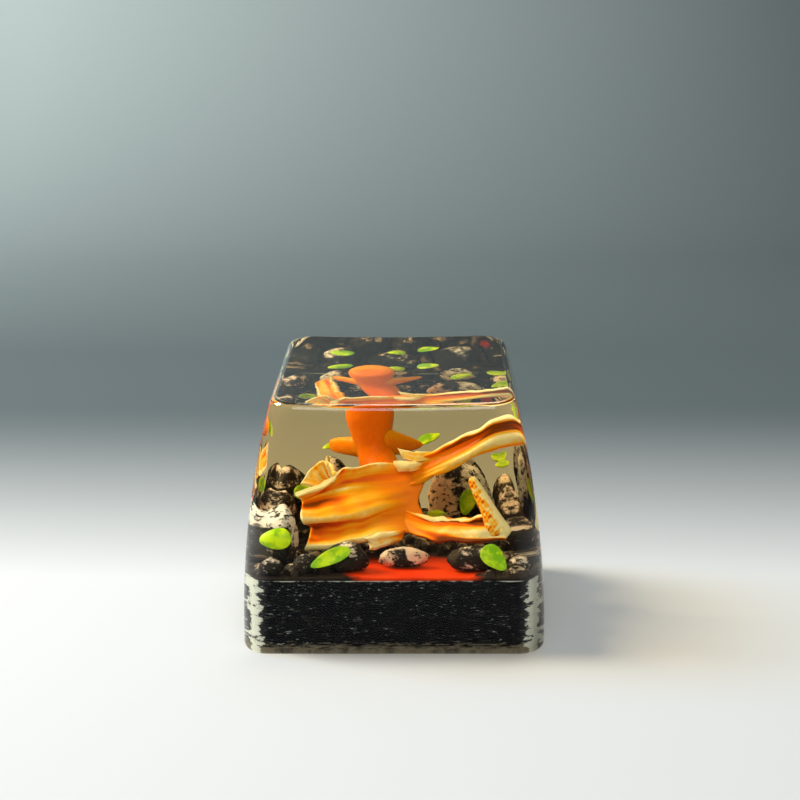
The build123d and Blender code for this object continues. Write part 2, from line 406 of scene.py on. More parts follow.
def dry_brush(tree, scale, coverage, softness):
    """The mask of a dry_brush group placed in a material, with its marks per metre along X, Y and Z."""
    sockets = {"Scale": scale, "Coverage": coverage, "Softness": softness}
    return add_node(tree, "ShaderNodeGroup", sockets, node_tree=dry_brush_group()).outputs["Mask"]


def clear_resin_material(settings):
    """Clear tinted resin that lets the lamps through to what is cast in it.

    Depth tints it further, and the first mark coats the rounded edges, so that they catch
    the light.
    """
    material, tree, shader, output = new_material("clear_resin")
    _, marks = read_marks(tree)
    look = {
        "Base Color": settings.tint,
        "Roughness": 0.0,
        "IOR": settings.ior,
        "Specular Tint": settings.gloss,
        "Transmission Weight": 1.0,
        "Coat Weight": marks["X"],
        "Coat Roughness": 0.05,
    }
    set_inputs(tree, shader, look)
    rays = add_node(tree, "ShaderNodeLightPath").outputs
    passing = calculate(tree, "MAXIMUM", rays["Is Shadow Ray"], rays["Is Diffuse Ray"])
    see_through = add_node(tree, "ShaderNodeBsdfTransparent", {"Color": settings.passing}).outputs[0]
    surface = add_node(tree, "ShaderNodeMixShader", {0: passing, 1: shader.outputs[0], 2: see_through})
    absorption = {"Color": settings.amber, "Density": settings.amber_density}
    depth = add_node(tree, "ShaderNodeVolumeAbsorption", absorption)
    set_inputs(tree, output, {"Surface": surface.outputs[0], "Volume": depth.outputs[0]})
    return material


def black_resin_material(settings):
    """Black resin with fine level scuffs and scattered pale wear. Its corners are pale as a painted view of
    the pale floor through the clear resin, over the ragged edge of worn paint, and it is paler towards its
    top edge; the grey-brown bottom rim is a painted view through the clear bottom edge.
    """
    material, tree, shader, _ = new_material("black_resin")
    axes = object_axes(tree)
    width = calculate(tree, "ABSOLUTE", axes["X"])
    depth = calculate(tree, "ABSOLUTE", axes["Y"])
    # The pale corners are a painted view of the pale floor through the clear resin, over ragged worn paint
    across = map_range(tree, width, low=7.2 * MM, high=8.4 * MM, end=0.62)
    along = map_range(tree, depth, low=5.5 * MM, high=7.5 * MM)
    corner = calculate(tree, "MULTIPLY", across, along)
    base_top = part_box("black_base")[1].z
    edge_depth = 0.14 * MM
    edge = map_range(tree, axes["Z"], low=base_top - edge_depth, high=base_top, end=0.4)
    pale_zone = calculate(tree, "MAXIMUM", corner, edge)
    least_wear = 0.12
    worn_and_see_through_coverage = calculate(tree, "ADD", least_wear, pale_zone)
    worn = dry_brush(tree, scale=(1500.0, 1500.0, 3200.0), coverage=worn_and_see_through_coverage, softness=0.03)
    leftward = -0.4
    sideways = calculate(tree, "MULTIPLY_ADD", axes["X"], leftward, width)
    scuff_coverage = map_range(tree, sideways, low=0.0, high=11 * MM, start=0.42, end=0.60)
    clusters = dry_brush(tree, scale=(800.0, 800.0, 1100.0), coverage=scuff_coverage, softness=0.14)
    strokes = dry_brush(tree, scale=(2600.0, 2600.0, 10000.0), coverage=0.36, softness=0.03)
    scuffs = calculate(tree, "MULTIPLY", clusters, strokes)
    # The grey-brown bottom rim is a painted view through the clear bottom edge
    rim_see_through_coverage = map_range(tree, axes["Z"], low=0.8 * MM, high=0.2 * MM, start=0.30, end=0.60)
    rim = dry_brush(tree, scale=(1100.0, 1100.0, 6000.0), coverage=rim_see_through_coverage, softness=0.10)
    scuffed = mix_colours(tree, scuffs, settings.black, settings.scuff)
    rimmed = mix_colours(tree, rim, scuffed, settings.rim)
    paint = mix_colours(tree, worn, rimmed, settings.worn)
    set_inputs(tree, shader, {"Base Color": paint, "Roughness": 0.6, "Specular IOR Level": 0.03})
    return material


def red_resin_material(settings):
    """Red-orange resin with darker clouds, under dark grit as far as the first mark says.

    The second mark is the grit's height, and its tops are rubbed pale.
    """
    material, tree, shader, _ = new_material("red_resin")
    _, marks = read_marks(tree)
    clouds = dry_brush(tree, scale=(300.0, 300.0, 300.0), coverage=0.42, softness=0.12)
    red = mix_colours(tree, clouds, settings.red, settings.red_shade)
    top = map_range(tree, marks["Y"], low=0.2, high=1.0, start=0.30, end=0.52)
    rubbed = dry_brush(tree, scale=(2600.0, 2600.0, 2600.0), coverage=top, softness=0.05)
    grit = mix_colours(tree, rubbed, settings.silt, settings.grit)
    paint = mix_colours(tree, marks["X"], red, grit)
    set_inputs(tree, shader, {"Base Color": paint, "Roughness": 0.5, "Specular IOR Level": 0.1})
    return material


def dark_stone_material(settings):
    """Dark stone with pale rubbed patches, as far as the first mark says.

    The second mark tints the patches pinkish.
    """
    material, tree, shader, _ = new_material("dark_stone")
    _, marks = read_marks(tree)
    patches = dry_brush(tree, scale=(1000.0, 1000.0, 1500.0), coverage=marks["X"], softness=0.04)
    fine = dry_brush(tree, scale=(4200.0, 4200.0, 5600.0), coverage=0.35, softness=0.03)
    cracks = dry_brush(tree, scale=(2600.0, 2600.0, 3600.0), coverage=0.56, softness=0.03)
    broken = calculate(tree, "MULTIPLY", patches, cracks)
    rubbed = calculate(tree, "MAXIMUM", broken, fine)
    pale = mix_colours(tree, marks["Y"], settings.pale, settings.warm)
    look = {
        "Base Color": mix_colours(tree, rubbed, settings.dark, pale),
        "Normal": relief(tree, rubbed, strength=0.6, distance=0.08 * MM),
        "Roughness": 0.6,
        "Specular IOR Level": 0.15,
    }
    set_inputs(tree, shader, look)
    return material


def green_leaf_material(settings):
    """Lime leaf with darker green stretches."""
    material, tree, shader, _ = new_material("green_leaf")
    shade = dry_brush(tree, scale=(1100.0, 1100.0, 1100.0), coverage=0.50, softness=0.08)
    paint = mix_colours(tree, shade, settings.lime, settings.green)
    set_inputs(tree, shader, {"Base Color": paint, "Roughness": 0.4, "Specular IOR Level": 0.2})
    return material


def orange_figure_material(settings):
    """Goldfish paint: the first mark runs from the brown grooves to the white rims, and its pale end is
    painted highlight.

    The second mark counts the rays. Noise stretched along them breaks the colours up, and
    pale dots on the pale parts are painted granular highlights.
    """
    material, tree, shader, _ = new_material("orange_figure")
    marks, values = read_marks(tree)
    grain = stretched_noise(tree, marks, (2.5, 9.0, 1.0), scale=1.6, detail=5.0, roughness=0.6)
    noise_mean = 0.5
    grain_strength = 0.9
    shift = calculate(tree, "ADD", grain, -noise_mean)
    spread = calculate(tree, "MULTIPLY", shift, values["X"])
    wide = calculate(tree, "MULTIPLY", spread, grain_strength)
    streaked = calculate(tree, "ADD", values["X"], wide)
    # Pale dots on the pale parts are painted granular highlights
    highlight_specks = dry_brush(tree, scale=(3600.0, 3600.0, 3600.0), coverage=0.47, softness=0.10)
    speck_highlight = map_range(tree, streaked, low=0.45, high=0.9, end=0.28)
    tone = calculate(tree, "MULTIPLY_ADD", highlight_specks, speck_highlight, streaked, use_clamp=True)
    colours = add_node(tree, "ShaderNodeValToRGB", {0: tone})
    stops = (
        (0.0, settings.brown),
        (0.14, settings.deep),
        (0.30, settings.orange),
        (0.48, settings.gold),
        (0.72, settings.cream),
        (1.0, settings.white),
    )
    elements = colours.color_ramp.elements
    elements.remove(elements[1])
    for place, value in stops:
        stop = elements[0] if place == 0.0 else elements.new(place)
        stop.color = (*value, 1.0)
    wrinkles = dry_brush(tree, scale=(1500.0, 1500.0, 1500.0), coverage=0.5, softness=0.25)
    look = {
        "Base Color": colours.outputs[0],
        "Normal": relief(tree, wrinkles, strength=0.35, distance=0.12 * MM),
        "Roughness": 0.3,
        "Specular IOR Level": 0.12,
        "Subsurface Weight": 0.25,
        "Subsurface Radius": (1.0, 0.45, 0.12),
        "Subsurface Scale": 0.6 * MM,
    }
    set_inputs(tree, shader, look)
    return material


def square_walk(side_steps, corner_steps):
    """Anticlockwise walk round a square with rounded corners.

    Gives a point on the border of the square from -1 to 1 and the outward normal for each
    column: a rounded square of half width a and corner radius r is (a - r) point + r normal.
    """
    along = np.linspace(-1, 1, side_steps, endpoint=False)[1:]
    bend = np.linspace(0, pi / 2, corner_steps)
    ones = np.ones_like(along)
    point = np.concatenate([np.stack([ones, along], axis=-1), np.ones((corner_steps, 2))])
    corner_normal = np.stack([np.cos(bend), np.sin(bend)], axis=-1)
    normal = np.concatenate([np.stack([ones, 0 * along], axis=-1), corner_normal])
    points = []
    normals = []
    for quarter in range(4):
        c = round(cos(quarter * pi / 2))
        s = round(sin(quarter * pi / 2))
        rotation = np.array([[c, s], [-s, c]])
        points.append(point @ rotation)
        normals.append(normal @ rotation)
    return np.concatenate(points), np.concatenate(normals)


def clear_block_rings(settings):
    """Rings of the clear block, from the roof of the base's pocket round to the top's centre.

    A ring at height z is a rounded square of half width h(z): the skirt's half width, less
    the side arc's fall above the skirt. The top is a sphere tilted towards the front. Each
    rounded edge is a rational quadratic, which is a true arc between its two tangents. The
    first mark is 1 on the top's rounded edge and on the upright corners, and 0 on the faces.
    """
    edge_rows = 9
    wall_rows = 44
    top_rows = 26
    roof_rows = 8
    roof_centre = 0.05
    meeting_rounds = 12
    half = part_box("clear_body")[1].x
    base_low, base_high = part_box("black_base")
    radius = settings.corner_radius
    points, normals = square_walk(side_steps=26, corner_steps=11)

    def half_at(z):
        above = np.maximum(z - settings.skirt_height, 0)
        return half - settings.side_radius + np.sqrt(settings.side_radius**2 - above**2)

    def outline(half_width, corner):
        return (half_width - corner)[..., None] * points + np.asarray(corner)[..., None] * normals

    def joined(flat, z):
        z = np.broadcast_to(z, flat.shape[:-1])
        return np.concatenate([flat, z[..., None]], axis=-1)

    sphere_y = -sin(settings.top_tilt) * settings.dish_radius
    sphere_z = settings.centre_height + cos(settings.top_tilt) * settings.dish_radius

    def top_at(flat):
        level = settings.dish_radius**2 - flat[..., 0] ** 2 - (flat[..., 1] - sphere_y) ** 2
        return sphere_z - np.sqrt(level)

    # The sides and the top meet where each gives the other's height
    columns = len(points)
    crest = np.full(columns, settings.centre_height)
    for _ in range(meeting_rounds):
        edge = outline(half_at(crest), np.full(columns, radius))
        crest = top_at(edge)
    corner = joined(edge, crest)
    above = crest - settings.skirt_height
    slope = above / np.sqrt(settings.side_radius**2 - above**2)
    down = unit(joined(normals * slope[:, None], -1.0))
    to_sphere = np.array([0.0, sphere_y]) - edge
    fall = -np.einsum("ij,ij->i", to_sphere, normals) / (sphere_z - crest)
    inward = unit(joined(-normals, -fall))
    half_turn = (pi - np.arccos(np.einsum("ij,ij->i", down, inward))) / 2
    reach = (settings.top_edge * np.tan(half_turn))[:, None]
    start = corner + reach * down
    end = corner + reach * inward
    weight = np.cos(half_turn)[None, :, None]
    t = np.linspace(0, 1, edge_rows)[:, None, None]
    blend = (1 - t) ** 2 + 2 * weight * t * (1 - t) + t**2
    top_round = ((1 - t) ** 2 * start + 2 * weight * t * (1 - t) * corner + t**2 * end) / blend

    rise = np.linspace(0, 1, wall_rows)[1:-1, None]
    wall_z = settings.bottom_edge + rise * (start[:, 2] - settings.bottom_edge)
    wall = joined(outline(half_at(wall_z), np.full_like(wall_z, radius)), wall_z)

    toward = np.linspace(1, 0, top_rows)[1:-1, None, None]
    flat = end[None, :, :2] * toward
    top = joined(flat, top_at(flat))

    bend = np.linspace(0, pi / 2, edge_rows)[:, None]
    inset = settings.bottom_edge * (1 - np.sin(bend)) * np.ones(columns)
    lift = settings.bottom_edge * (1 - np.cos(bend)) * np.ones(columns)
    bottom_round = joined(outline(half - inset, radius - inset), lift)

    pocket_half = base_high.x
    sunk_half = base_high.x - settings.pocket_sink
    roof = base_high.z - settings.pocket_sink
    pocket_radius = radius - (half - pocket_half)
    sunk = outline(np.full(columns, sunk_half), np.full(columns, pocket_radius))
    roof_rings = joined(sunk[None] * np.linspace(roof_centre, 1, roof_rows)[:, None, None], roof)
    pocket_wall = joined(sunk[None], np.array([[settings.pocket_sink]]))
    pocket_edge = outline(np.full((1, columns), pocket_half), np.full((1, columns), pocket_radius))
    rim = joined(pocket_edge, base_low.z)
    rings = np.concatenate([roof_rings, pocket_wall, rim, bottom_round, wall, top_round, top])
    glint = np.zeros(rings.shape[:2])
    top_start = len(rings) - len(top)
    edge_start = top_start - len(top_round)
    glint[edge_start + 1 : top_start - 1] = 1
    glint[edge_start - len(wall) : edge_start] = 2 * np.abs(normals[:, 0] * normals[:, 1])
    return rings, ring_marks(glint, np.zeros_like(glint))


class OBJECT_OT_keycap_clear_block(bpy.types.Operator):
    """Makes the clear cast block, hollowed where the base sits"""

    bl_idname = "object.keycap_clear_block"
    bl_label = "Clear block"

    def execute(self, context):
        settings = context.scene.keycap_resin
        rings, marks = clear_block_rings(settings)
        points, quads, fans = ring_skin(rings)
        material = clear_resin_material(settings)
        sharp = radians(50)
        faces = [quads, fans]
        add_piece("clear_block", points, faces, ["clear_body"], material, marks, sharp)
        return {"FINISHED"}


# Red clearings in the grit: x, y, half width and half depth in millimetres, and the band in which
# the grit sets in, as squares of shares of those half sizes
clearings = ((1.4, -6.2, 4.4, 3.6, 0.75, 1.15), (6.6, 3.4, 1.3, 1.6, 0.6, 1.2))


def grit_cover(x, y):
    """1 where the pond's floor is covered with grit, and 0 in its red clearings."""
    cover = 1.0
    for centre_x, centre_y, half_width, half_depth, bare, covered in clearings:
        away = ((x / MM - centre_x) / half_width) ** 2 + ((y / MM - centre_y) / half_depth) ** 2
        cover = cover * ramp(bare, covered, away)
    return cover


def pond_bed_skin(settings, steps=210, seed=7):
    """Skin of the pond's floor with grit on it, and its marks.

    The plan is a square grid whose corners are drawn in to quarter circles. The height is
    the highest of the domes r sqrt(1 - (d / r)^2) of small stones, whose places and radii r
    are drawn from a seed, where d is the distance from a stone's middle.
    """
    low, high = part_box("floor_layer")
    half = high.x
    radius = 0.7 * MM
    bare_border = 0.5 * MM
    dark_height = 0.1 * MM
    walk = np.linspace(-half, half, steps)
    x, y = np.meshgrid(walk, walk, indexing="ij")
    u = np.clip((np.abs(x) - half + radius) / radius, 0, 1)
    v = np.clip((np.abs(y) - half + radius) / radius, 0, 1)
    x = np.sign(x) * (np.minimum(np.abs(x), half - radius) + radius * u * np.sqrt(1 - v**2 / 2))
    y = np.sign(y) * (np.minimum(np.abs(y), half - radius) + radius * v * np.sqrt(1 - u**2 / 2))
    draw = np.random.default_rng(seed)
    height = np.zeros_like(x)
    for _ in range(settings.grit_count):
        centre_x, centre_y = draw.uniform(-half, half, 2)
        size = settings.grit_size * draw.uniform(0.35, 1.0) * grit_cover(centre_x, centre_y)
        stretch = draw.uniform(0.7, 1.4)
        away = ((x - centre_x) * stretch) ** 2 + ((y - centre_y) / stretch) ** 2
        height = np.maximum(height, np.sqrt(np.maximum(size**2 - away, 0)))
    border = np.minimum(half - np.abs(x), half - np.abs(y))
    height = height * ramp(0.0, bare_border, border)
    top = np.stack([x, y, high.z + height], axis=-1)
    bottom = np.stack([x, y, np.full_like(x, low.z)], axis=-1)
    points, quads = pillow_skin(top, bottom)
    cover = np.maximum(grit_cover(x, y), ramp(0.0, dark_height, height))
    return points, outward(points, quads), pillow_marks(cover, height / settings.grit_size)


class OBJECT_OT_keycap_base(bpy.types.Operator):
    """Gives the black base its finish and makes the pond's floor"""

    bl_idname = "object.keycap_base"
    bl_label = "Base and floor"

    def execute(self, context):
        settings = context.scene.keycap_base
        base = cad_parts["black_base"]
        base.data.materials.clear()
        base.data.materials.append(black_resin_material(settings))
        points, quads, marks = pond_bed_skin(settings)
        material = red_resin_material(settings)
        add_piece("pond_bed", points, [quads], ["floor_layer"], material, marks)
        return {"FINISHED"}


def node_corners(node):
    """Corners of each triangle of a CAD node, as an array of shape (triangles, 3, 3)."""
    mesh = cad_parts[node].data
    mesh.calc_loop_triangles()
    points = np.empty(len(mesh.vertices) * 3)
    mesh.vertices.foreach_get("co", points)
    triangles = np.empty(len(mesh.loop_triangles) * 3, dtype=np.int32)
    mesh.loop_triangles.foreach_get("vertices", triangles)
    return points.reshape(-1, 3)[triangles.reshape(-1, 3)]


# Directions in which a stone is rubbed pale, how far, and how pinkish
top_rub = (((0.0, -0.5, 0.85), 0.12, 0.35),)
stone_rubs = {
    "left_boulder": (((0.1, -0.1, 1.0), 0.34, 0.0), ((1.0, -0.2, 0.1), 0.24, 0.0)),
    "right_boulder": (((-1.0, -0.35, -0.1), 0.30, 1.0), ((0.85, -0.2, 0.5), 0.26, 0.0)),
    "rear_left_pebble": (((-0.6, -0.5, 0.7), 0.30, 0.0),),
    "rear_right_pebble": (((0.0, -0.5, 0.85), 0.2, 0.0),),
    "front_middle_pebble": (((1.0, -0.2, 0.5), 0.28, 0.7), ((-1.0, -0.2, 0.5), 0.22, 0.6)),
}
least_rub = 0.36
plain_warmth = 0.3
rub_start = 0.25
rub_full = 0.9


def stone_marks(node, directions):
    """Marks for how far each direction from a stone's middle is rubbed pale, and how pinkish it is."""
    rub = np.full(directions.shape[:-1], least_rub)
    warmth = np.full(directions.shape[:-1], plain_warmth)
    for direction, strength, pink in stone_rubs.get(node, top_rub):
        facing = ramp(rub_start, rub_full, directions @ unit(np.array(direction)))
        rub = np.maximum(rub, least_rub + strength * facing)
        warmth = warmth * (1 - facing) + pink * facing
    return ring_marks(rub, warmth)


def worn_stone_rings(node, seed, settings):
    """Rings of a worn stone inside the node's facets, and its marks.

    Along a direction u the radius is the p-norm of u.n / d over the facets' normals n and
    distances d, to the power -1, so that facets stay and their edges are rounded. Sine
    waves then press shallow dents into it.
    """
    rows = 42
    columns = 64
    dent_rate = 5
    fine_rate = 17
    fine_share = 0.5
    fine_seed = seed + 100
    corners = node_corners(node)
    centre = (corners.reshape(-1, 3).min(0) + corners.reshape(-1, 3).max(0)) / 2
    normal = unit(np.cross(corners[:, 1] - corners[:, 0], corners[:, 2] - corners[:, 0]))
    distance = np.einsum("ij,ij->i", normal, corners[:, 0] - centre)
    latitude = np.linspace(-pi / 2, pi / 2, rows)[1:-1, None]
    longitude = np.linspace(0, 2 * pi, columns, endpoint=False)[None, :]
    x = np.cos(latitude) * np.cos(longitude)
    y = np.cos(latitude) * np.sin(longitude)
    direction = np.stack(np.broadcast_arrays(x, y, np.sin(latitude)), axis=-1)
    facing = np.maximum(direction @ normal.T, 0) / distance
    radius = (facing**settings.roundness).sum(-1) ** (-1 / settings.roundness)
    dents = 0.5 + 0.5 * ripple(direction * dent_rate, seed)
    fine = 0.5 + 0.5 * ripple(direction * fine_rate, fine_seed)
    radius = radius * (1 - settings.bump * (dents + fine_share * fine))
    return centre + direction * radius[..., None], stone_marks(node, direction)


class OBJECT_OT_keycap_pebbles(bpy.types.Operator):
    """Makes the worn pebbles from the CAD stones"""

    bl_idname = "object.keycap_pebbles"
    bl_label = "Pebbles"

    def execute(self, context):
        settings = context.scene.keycap_pebbles
        material = dark_stone_material(settings)
        for seed, node in enumerate(pebble_nodes):
            rings, marks = worn_stone_rings(node, seed, settings)
            points, quads, fans = ring_skin(rings)
            add_piece("worn_" + node, points, [quads, fans], [node], material, marks)
        return {"FINISHED"}


def cupped_leaf_rings(node, seed, settings):
    """Rings of a leaf over the node's own axes.

    The outline is an egg with a slight wave, x = a cos v and y = b sin v (1 + lean cos v).
    From the middle of one face round the rim to the middle of the other it is scaled by sin u,
    its thickness follows cos u, and the whole leaf is cupped by the square of the distance
    from its middle and curled along its length.
    """
    rows = 18
    columns = 40
    waviness = 0.03
    curl = 0.05
    lean = 0.25 if seed % 2 else -0.25
    points = node_corners(node).reshape(-1, 3)
    points = np.unique(points.round(8), axis=0)
    centre = (points.min(0) + points.max(0)) / 2
    _, _, axes = np.linalg.svd(points - points.mean(0), full_matrices=False)
    axes[2] = np.cross(axes[0], axes[1])
    local = (points - centre) @ axes.T
    middle = (local.max(0) + local.min(0)) / 2
    half_length, half_width, half_thick = (local.max(0) - local.min(0)) / 2
    u = np.linspace(pi, 0, rows)[1:-1, None]
    v = np.linspace(0, 2 * pi, columns, endpoint=False)[None, :]
    wave = 1 + waviness * np.sin(3 * v + seed)
    x = half_length * np.cos(v) * np.sin(u) * wave
    y = half_width * np.sin(v) * (1 + lean * np.cos(v)) * np.sin(u) * wave
    away = (x / half_length) ** 2 + (y / half_width) ** 2
    z = half_thick * np.cos(u) + settings.cup * 2 * half_width * (away - 0.5)
    z = z + curl * half_width * np.sin(2 * x / half_width + seed)
    return centre + (np.stack([x, y, z], axis=-1) + middle) @ axes


class OBJECT_OT_keycap_leaves(bpy.types.Operator):
    """Makes the cupped water leaves from the CAD leaves"""

    bl_idname = "object.keycap_leaves"
    bl_label = "Leaves"

    def execute(self, context):
        settings = context.scene.keycap_leaves
        material = green_leaf_material(settings)
        for seed, node in enumerate(leaf_nodes):
            points, quads, fans = ring_skin(cupped_leaf_rings(node, seed, settings))
            faces = [outward(points, quads), outward(points, fans)]
            add_piece("cupped_" + node, points, faces, [node], material)
        return {"FINISHED"}


# Goldfish, in millimetres with z above the pond's floor.
# Body: x, y, z of the spine, half width and half depth, from the crown to the tail's root
body_stations = (
    (-1.58, 2.95, 8.10, 0.15, 0.15),
    (-1.58, 2.95, 8.02, 0.95, 0.95),
    (-1.58, 2.93, 7.75, 1.42, 1.38),
    (-1.57, 2.86, 7.20, 1.52, 1.44),
    (-1.48, 2.70, 6.40, 1.34, 1.30),
    (-1.32, 2.40, 5.50, 1.13, 1.10),
    (-1.12, 2.00, 4.80, 1.14, 1.04),
    (-0.75, 1.30, 4.25, 1.12, 0.95),
    (-0.35, 0.35, 3.75, 0.95, 0.80),
    (0.05, -0.70, 3.30, 0.70, 0.60),
    (0.25, -1.20, 3.00, 0.45, 0.40),
    (0.32, -1.40, 2.90, 0.10, 0.10),
)

# Side fins: x, y, z of the spine, half height and half thickness, from the root to the tip
left_fin_stations = (
    (-1.40, 1.95, 5.55, 0.30, 0.20),
    (-1.70, 2.05, 5.50, 0.72, 0.40),
    (-2.60, 2.62, 5.44, 0.58, 0.32),
    (-3.50, 3.30, 5.34, 0.48, 0.26),
    (-4.02, 3.70, 5.26, 0.34, 0.18),
    (-4.16, 3.82, 5.24, 0.08, 0.05),
)
right_fin_stations = (
    (-1.05, 1.95, 5.80, 0.40, 0.20),
    (-0.70, 2.05, 5.75, 0.92, 0.42),
    (0.25, 2.75, 5.58, 0.62, 0.34),
    (1.05, 3.40, 5.36, 0.38, 0.24),
    (1.52, 3.78, 5.26, 0.20, 0.15),
    (1.70, 3.90, 5.22, 0.06, 0.05),
)

# Horn of the tail: x, y, z of the spine, half width and half depth, from the root to the tip
horn_stations = (
    (6.50, -4.75, 1.60, 0.30, 0.20),
    (6.42, -4.70, 1.85, 0.70, 0.36),
    (6.10, -4.45, 2.50, 0.62, 0.36),
    (5.72, -4.12, 3.25, 0.48, 0.34),
    (5.25, -3.75, 4.05, 0.40, 0.32),
    (4.93, -3.52, 4.60, 0.33, 0.29),
    (4.77, -3.40, 4.90, 0.25, 0.23),
    (4.70, -3.35, 5.02, 0.06, 0.06),
)

# Each rod has its rows and columns, the direction of its first half size, the side with painted shade,
# the tones there and elsewhere, and the strength of its speckles. The body and side fins are painted
# darker on their front as shade; on the horn the darker front-left side is painted shade and brown
# speckled paint both.
Rod = namedtuple("Rod", "stations grid axis dim_side dim_tone bright_tone mottle")
rightwards = (1.0, 0.0, 0.0)
upwards = (0.0, 0.0, 1.0)
front = (0.0, -1.0, 0.0)
front_left = (-0.8, -0.6, 0.0)
goldfish_rods = (
    Rod(body_stations, (100, 64), rightwards, front, 0.24, 0.34, 0.03),
    Rod(left_fin_stations, (40, 32), upwards, front, 0.32, 0.40, 0.03),
    Rod(right_fin_stations, (40, 32), upwards, front, 0.32, 0.40, 0.03),
    Rod(horn_stations, (110, 60), rightwards, front_left, 0.50, 0.96, 0.50),
)

# Veil tail: each sheet has its thickness, its number of ribs, how brown its creases are, its rows
# and columns, and for each ridge or hollow its tone and its places from the root to the free edge.
# A ridge's pale tone is a painted highlight.
Sheet = namedtuple("Sheet", "thickness ribs browning grid curves")
broad_grid = (80, 100)
small_grid = (44, 56)
left_pouches = Sheet(0.30, 14, 0.30, broad_grid, (
    (0.84, (2.3, -0.75, 5.7), (0.6, -0.5, 5.15), (-1.2, -0.45, 5.2), (-2.7, -0.6, 5.0), (-3.5, -0.8, 4.75),
     (-4.2, -1.4, 4.15), (-6.0, -2.2, 3.5)),
    (0.44, (2.0, -1.1, 4.5), (0.5, -1.0, 4.2), (-1.5, -0.9, 3.9), (-2.7, -1.0, 3.75), (-3.7, -1.2, 3.6),
     (-4.6, -1.4, 3.4), (-5.6, -1.8, 3.1)),
    (0.74, (1.5, -1.6, 3.2), (0.4, -1.7, 3.1), (-0.9, -2.2, 2.95), (-2.0, -2.8, 2.75), (-3.2, -3.1, 2.6),
     (-4.4, -3.3, 2.5), (-5.6, -3.4, 2.5)),
    (0.38, (1.8, -2.2, 2.4), (0.5, -2.1, 2.4), (-1.0, -2.3, 2.3), (-2.1, -2.5, 2.15), (-3.2, -2.7, 2.0),
     (-4.3, -2.8, 1.85), (-5.2, -2.8, 1.8)),
    (0.78, (1.6, -3.2, 1.5), (0.4, -3.3, 1.65), (-1.0, -3.9, 1.55), (-2.2, -4.2, 1.35), (-3.3, -4.4, 1.2),
     (-4.4, -4.6, 1.0), (-5.45, -4.8, 0.85)),
))
right_banner = Sheet(0.32, 11, 0.60, broad_grid, (
    (0.86, (-0.2, 0.0, 4.9), (2.3, -0.9, 6.0), (4.4, -1.4, 7.1), (6.1, -2.0, 8.3), (7.0, -2.2, 8.75)),
    (0.22, (-0.2, -0.4, 4.4), (2.6, -1.1, 5.5), (4.6, -1.5, 6.5), (6.3, -1.9, 7.6), (7.2, -2.1, 8.1)),
    (0.82, (-0.1, -0.6, 3.9), (2.5, -1.4, 4.95), (4.3, -1.9, 5.9), (6.0, -2.2, 6.95), (7.3, -2.3, 7.4)),
    (0.50, (0.0, -0.9, 3.4), (1.9, -1.5, 4.4), (3.5, -1.6, 5.25), (5.1, -1.9, 6.0), (7.25, -2.2, 6.7)),
))
right_wedge = Sheet(0.32, 9, 0.75, broad_grid, (
    (0.88, (-0.2, -1.4, 2.9), (1.5, -2.4, 2.5), (2.8, -3.0, 2.4), (4.2, -3.6, 2.5), (5.5, -4.1, 3.0)),
    (0.06, (-0.2, -1.7, 2.6), (2.0, -2.7, 2.15), (3.5, -3.2, 2.2), (5.0, -3.8, 2.3), (6.2, -4.3, 2.5)),
    (0.84, (-0.1, -2.0, 2.3), (2.0, -3.4, 1.85), (3.5, -4.0, 1.8), (5.0, -4.5, 1.9), (6.7, -4.9, 2.0)),
    (0.56, (0.0, -2.5, 1.9), (1.6, -3.6, 1.4), (3.2, -4.2, 1.2), (5.0, -4.7, 1.35), (6.8, -5.0, 1.6)),
))
upright_fan = Sheet(0.26, 6, 0.20, small_grid, (
    (0.78, (-3.3, -0.8, 3.7), (-3.8, -0.75, 4.4), (-4.05, -0.6, 5.2)),
    (0.52, (-3.4, -0.85, 3.6), (-4.2, -0.65, 4.45), (-4.5, -0.5, 5.4)),
    (0.64, (-3.5, -0.9, 3.5), (-4.6, -0.9, 4.3), (-5.2, -0.6, 4.85)),
    (0.76, (-3.6, -0.95, 3.4), (-4.8, -1.1, 3.9), (-5.8, -0.85, 4.0)),
))
front_fold = Sheet(0.30, 3, 0.10, small_grid, (
    (0.98, (0.7, -3.3, 1.8), (-0.7, -4.35, 1.85), (-1.75, -5.05, 1.7)),
    (0.70, (0.6, -3.3, 1.5), (-0.7, -4.2, 1.45), (-1.55, -4.9, 1.35)),
    (0.86, (0.5, -3.8, 1.3), (-0.7, -4.65, 1.1), (-1.45, -5.15, 1.0)),
))
crest_spike = Sheet(0.32, 4, 0.20, small_grid, (
    (0.94, (2.8, -0.7, 5.95), (1.4, -0.6, 5.85), (0.2, -0.2, 6.0)),
    (0.66, (2.8, -0.8, 5.8), (1.5, -0.8, 5.6), (0.4, -0.35, 5.75)),
    (0.86, (2.8, -0.8, 5.6), (1.6, -0.85, 5.35), (0.6, -0.45, 5.45)),
))
root_frill = Sheet(0.32, 3, 0.15, small_grid, (
    (0.96, (2.0, -0.6, 5.4), (0.9, -0.85, 5.3), (-0.1, -0.7, 5.35)),
    (0.72, (2.0, -0.7, 5.2), (0.9, -1.05, 5.1), (0.05, -0.85, 5.15)),
    (0.88, (2.0, -0.7, 5.0), (1.0, -1.0, 4.85), (0.3, -0.85, 4.85)),
))
